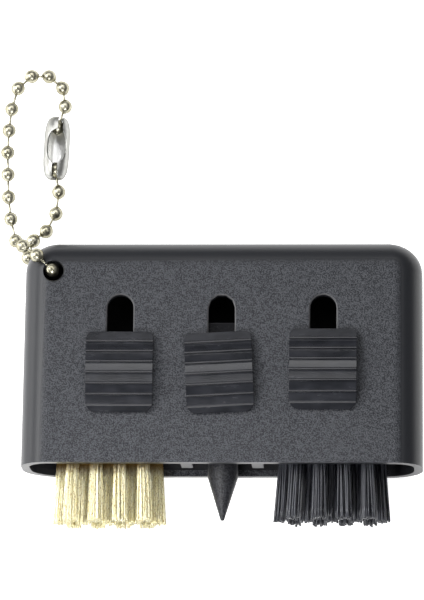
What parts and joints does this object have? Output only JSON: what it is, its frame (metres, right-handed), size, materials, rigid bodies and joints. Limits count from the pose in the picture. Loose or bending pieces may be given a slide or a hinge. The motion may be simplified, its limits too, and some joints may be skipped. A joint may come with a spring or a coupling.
{
  "type": "club groove brush",
  "caption": "Pocket golf club cleaner: flat moulded housing with thumb sliders that push out a brass brush, a spike and a nylon brush, and a ball chain through one corner.",
  "frame": {"origin": "middle of the housing's flat back face", "axes": "+Z out of the front face with the buttons, +Y from the open mouth towards the closed chain end, +X to the right seen from the front"},
  "size_m": [0.0752, 0.0839, 0.0175],
  "materials": {
    "housing_plastic": "spark-textured black ABS, satin on the rounded edges",
    "button_plastic": "smooth black ABS, semi-matte",
    "carrier_plastic": "plain moulded black plastic",
    "spike_plastic": "finely textured black plastic",
    "brass_wire": "bright crimped pale brass wire",
    "nylon_filament": "straight black nylon filament with a soft sheen",
    "bead_metal": "nickel-plated steel, bright",
    "connector_metal": "nickel-plated steel sheet, bright"
  },
  "bodies": {
    "housing": {"housing": "housing_plastic", "bead_01": "bead_metal", "bead_02": "bead_metal", "bead_23": "bead_metal", "bead_24": "bead_metal", "bead_25": "bead_metal", "bead_26": "bead_metal"},
    "brass_tool": {"brass_carrier": "carrier_plastic", "brass_button": "button_plastic", "brass_tuft_01": "brass_wire", "brass_tuft_02": "brass_wire", "brass_tuft_03": "brass_wire", "brass_tuft_04": "brass_wire", "brass_tuft_05": "brass_wire", "brass_tuft_06": "brass_wire", "brass_tuft_07": "brass_wire", "brass_tuft_08": "brass_wire", "brass_tuft_09": "brass_wire", "brass_tuft_10": "brass_wire", "brass_tuft_11": "brass_wire", "brass_tuft_12": "brass_wire", "brass_tuft_13": "brass_wire"},
    "spike_tool": {"spike_carrier": "spike_plastic", "spike_button": "button_plastic"},
    "nylon_tool": {"nylon_carrier": "carrier_plastic", "nylon_button": "button_plastic", "nylon_tuft_01": "nylon_filament", "nylon_tuft_02": "nylon_filament", "nylon_tuft_03": "nylon_filament", "nylon_tuft_04": "nylon_filament", "nylon_tuft_05": "nylon_filament", "nylon_tuft_06": "nylon_filament", "nylon_tuft_07": "nylon_filament", "nylon_tuft_08": "nylon_filament", "nylon_tuft_09": "nylon_filament", "nylon_tuft_10": "nylon_filament", "nylon_tuft_11": "nylon_filament", "nylon_tuft_12": "nylon_filament", "nylon_tuft_13": "nylon_filament"},
    "chain_loop": {"bead_03": "bead_metal", "bead_04": "bead_metal", "bead_05": "bead_metal", "bead_06": "bead_metal", "bead_07": "bead_metal", "bead_08": "bead_metal", "bead_09": "bead_metal", "bead_10": "bead_metal", "bead_11": "bead_metal", "bead_12": "bead_metal", "bead_13": "bead_metal", "bead_14": "bead_metal", "bead_15": "bead_metal", "bead_16": "bead_metal", "bead_17": "bead_metal", "bead_18": "bead_metal", "bead_19": "bead_metal", "bead_20": "bead_metal", "bead_21": "bead_metal", "bead_22": "bead_metal"},
    "connector": {"chain_connector": "connector_metal"}
  },
  "joints": [
    {"name": "brass_slide", "type": "slide", "parent": "housing", "child": "brass_tool", "axis": [0, 1, 0], "range_m": [0, 0.0105]},
    {"name": "spike_slide", "type": "slide", "parent": "housing", "child": "spike_tool", "axis": [0, 1, 0], "range_m": [0, 0.0105]},
    {"name": "nylon_slide", "type": "slide", "parent": "housing", "child": "nylon_tool", "axis": [0, 1, 0], "range_m": [-0.00055, 0.00995]},
    {"name": "chain_swing", "type": "hinge", "parent": "housing", "child": "chain_loop", "pos_m": [-0.0353, 0.0193, 0.0072], "axis": [0, 0, 1], "range_deg": [-30, 90]},
    {"name": "connector_spin", "type": "hinge", "parent": "chain_loop", "child": "connector", "pos_m": [-0.0306, 0.0394, 0.00245], "axis": [0.0349, 0.9994, 0], "continuous": true}
  ]
}
